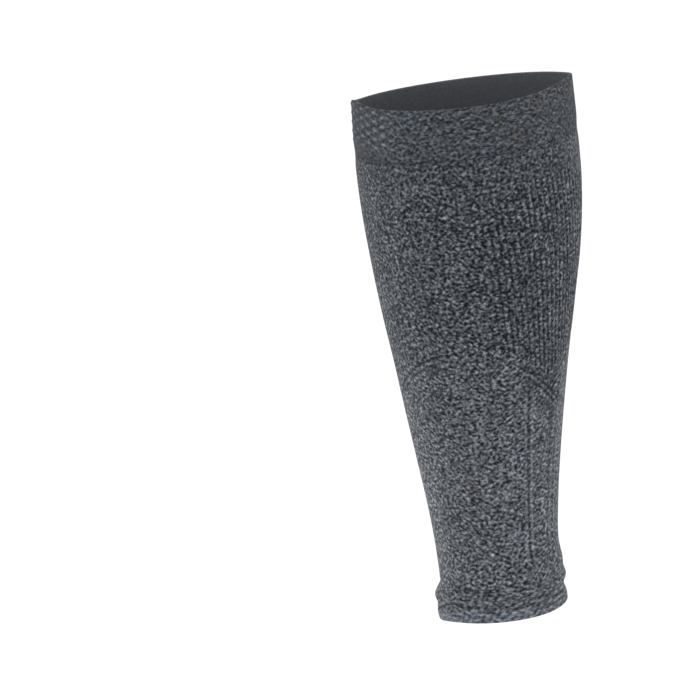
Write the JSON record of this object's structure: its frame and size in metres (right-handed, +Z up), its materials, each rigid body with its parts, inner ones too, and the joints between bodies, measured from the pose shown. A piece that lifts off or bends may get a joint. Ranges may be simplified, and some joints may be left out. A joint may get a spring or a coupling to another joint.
{
  "type": "leg sleeve",
  "caption": "Knitted calf compression sleeve in worn form: a tapering hollow tube with a ribbed calf panel, a turned band below the knee and a gathered cuff at the ankle.",
  "frame": {"origin": "on the leg's axis at the sleeve's fullest girth, where it grips the calf", "axes": "+Z up the leg towards the knee, +Y towards the calf muscle, -Y towards the shin, X across the leg"},
  "size_m": [0.123, 0.1317, 0.3118],
  "materials": {
    "heather_knit": "matt heather-charcoal compression knit",
    "band_knit": "matt charcoal tuck-knit band, turned double",
    "cuff_knit": "matt heather-charcoal knit cuff, turned double and gathered"
  },
  "bodies": {
    "root": {"leg_tube": "heather_knit", "knee_band": "band_knit", "ankle_cuff": "cuff_knit"}
  },
  "joints": []
}
